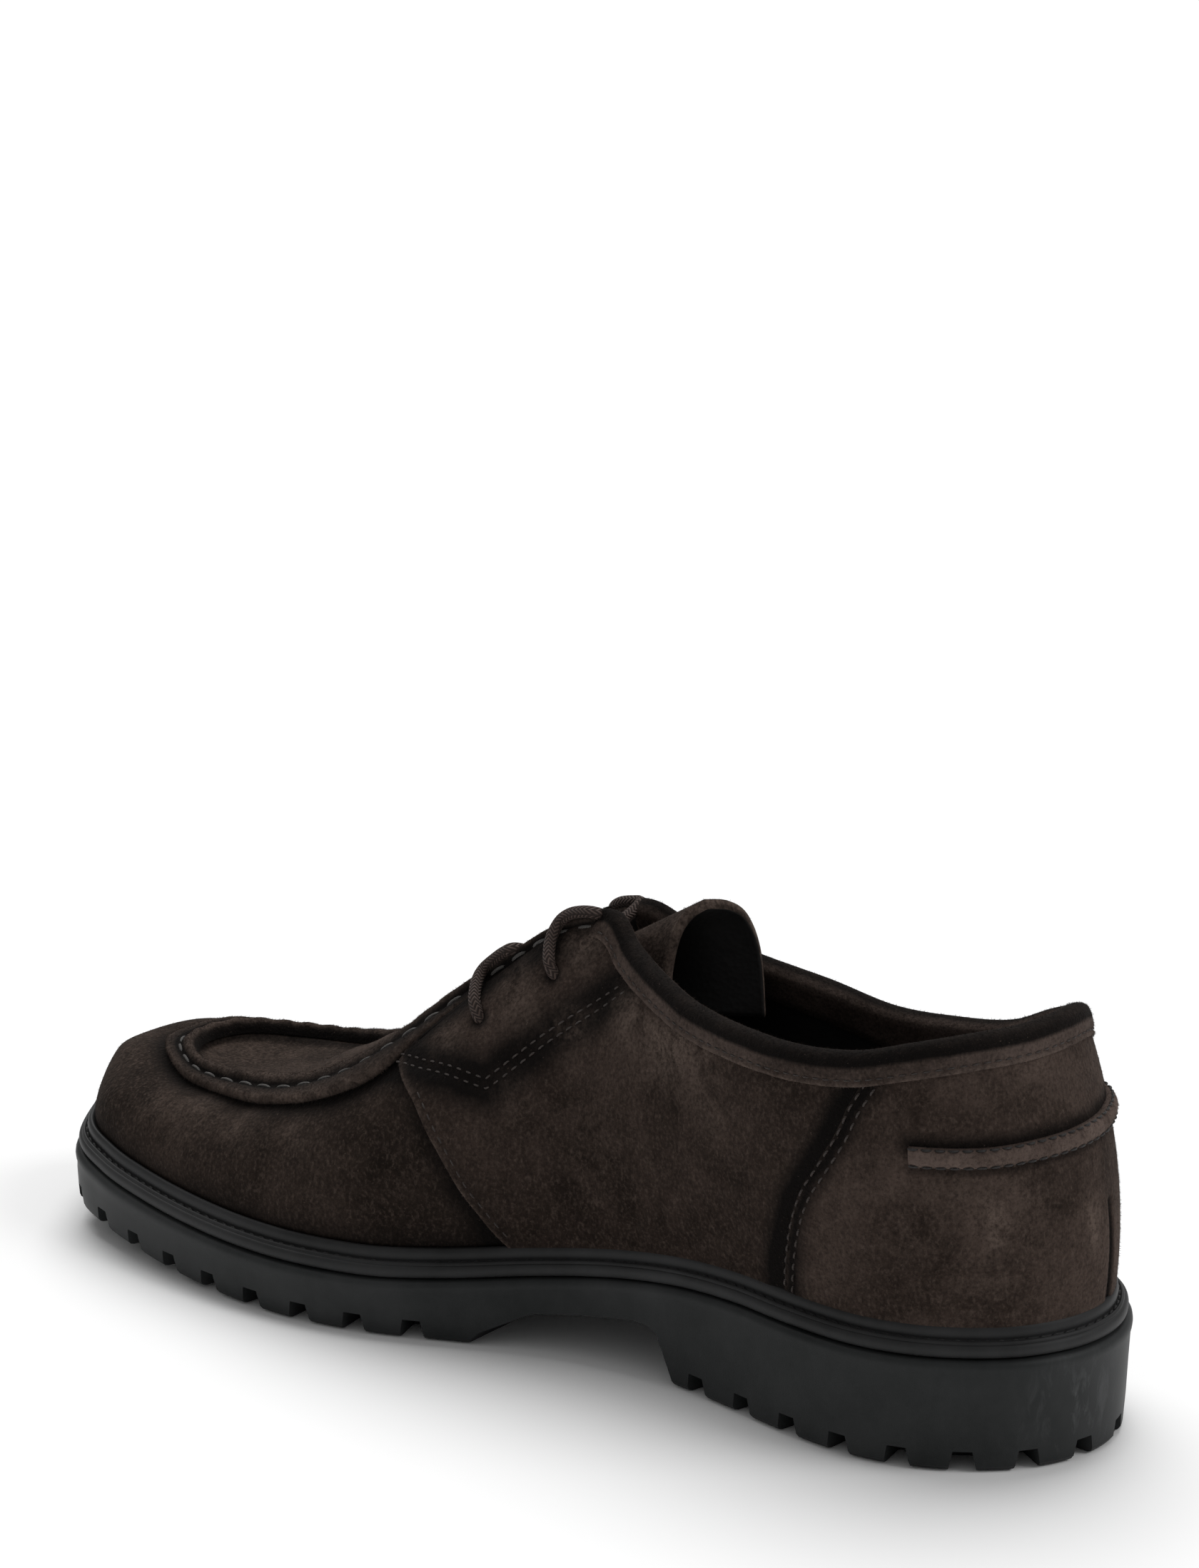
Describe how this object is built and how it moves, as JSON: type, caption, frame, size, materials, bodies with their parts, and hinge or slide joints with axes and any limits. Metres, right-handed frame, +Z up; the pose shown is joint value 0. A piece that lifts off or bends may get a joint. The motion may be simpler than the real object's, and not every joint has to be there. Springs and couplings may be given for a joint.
{
  "type": "moc toe shoe",
  "caption": "Low lace-up suede shoe with a raised moccasin seam round the toe, standing collar, arched tongue and a black lugged rubber sole with heel.",
  "frame": {"origin": "centre of the bounding box in plan, on the floor under the sole", "axes": "+Y from the heel's back to the toe, +Z up, +X to the wearer's outer side"},
  "size_m": [0.1078, 0.302, 0.1076],
  "materials": {
    "black_rubber": "semi-matte moulded rubber",
    "brown_suede": "dark brown nubuck suede with mottled nap",
    "burnished_suede": "suede burnished nearly black",
    "dark_lining": "smooth black lining",
    "waxed_lace": "waxed round braid"
  },
  "bodies": {
    "root": {"outsole": "black_rubber", "midsole": "black_rubber", "welt": "black_rubber", "insole": "dark_lining", "upper": "brown_suede", "raised_seam": "burnished_suede", "collar_binding": "burnished_suede", "tongue": "brown_suede", "eyestay_medial": "burnished_suede", "eyestay_lateral": "burnished_suede", "quarter_medial": "brown_suede", "quarter_lateral": "brown_suede", "counter": "brown_suede", "heel_strip": "brown_suede", "lace_bar_1": "waxed_lace", "lace_bar_2": "waxed_lace"}
  },
  "joints": []
}
